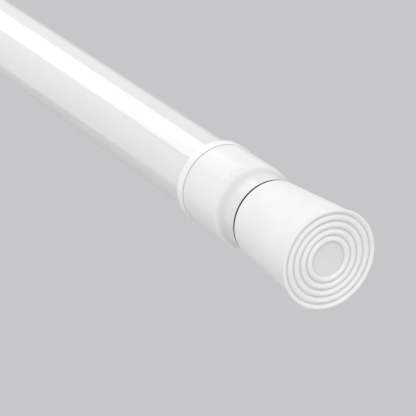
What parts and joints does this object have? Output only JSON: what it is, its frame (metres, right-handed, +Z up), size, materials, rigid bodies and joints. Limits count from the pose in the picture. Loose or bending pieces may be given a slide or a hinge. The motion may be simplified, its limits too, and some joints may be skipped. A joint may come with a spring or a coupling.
{
  "type": "spring tension rod",
  "caption": "Telescoping white curtain rod that holds itself between two walls by an inner spring and a twist lock, with collars and ridged rubber feet.",
  "frame": {"origin": "centre of the outer tube's foot, on the plane where its face meets the wall", "axes": "+X along the rod out of the outer foot's face, the rod runs to -X, +Z up"},
  "size_m": [0.5758, 0.0315, 0.0314],
  "materials": {
    "tube_paint": "gloss",
    "collar_plastic": "satin",
    "foot_rubber": "satin",
    "lock_plastic": "matte",
    "drag_rubber": "matte",
    "zinc_steel": "satin",
    "spring_steel": "satin"
  },
  "bodies": {
    "outer_rod": {"outer_tube": "tube_paint", "outer_collar": "collar_plastic", "outer_foot": "foot_rubber", "mouth_ring": "collar_plastic"},
    "collet": {"expander_collet": "lock_plastic", "drag_ring": "drag_rubber"},
    "cone": {"cone_wedge": "lock_plastic", "cone_nut": "zinc_steel"},
    "spindle": {"lock_spindle": "zinc_steel", "spindle_end_nut": "zinc_steel", "thrust_washer": "zinc_steel", "spring_seat": "lock_plastic", "seat_pin": "zinc_steel", "compression_spring": "spring_steel", "rear_washer": "zinc_steel", "rear_clip": "zinc_steel"},
    "inner_rod": {"inner_tube": "tube_paint", "spring_plug": "lock_plastic", "inner_collar": "collar_plastic", "inner_foot": "foot_rubber"}
  },
  "joints": [
    {"name": "length_slide", "type": "slide", "parent": "outer_rod", "child": "collet", "axis": [-1, 0, 0], "range_m": [-0.06, 0.143]},
    {"name": "twist_lock", "type": "hinge", "parent": "collet", "child": "spindle", "pos_m": [0, 0, 0], "axis": [1, 0, 0], "range_deg": [0, 720]},
    {"name": "cone_travel", "type": "slide", "parent": "collet", "child": "cone", "axis": [-1, 0, 0], "range_m": [0, 0.002]},
    {"name": "spring_stroke", "type": "slide", "parent": "spindle", "child": "inner_rod", "axis": [1, 0, 0], "range_m": [0, 0.025], "stiffness_N_per_m": 2110, "springref_m": -0.01, "deforming": ["compression_spring"]}
  ],
  "couplings": [
    {"joint": "cone_travel", "follows": "twist_lock", "m_per_rad": 0.00015915}
  ]
}
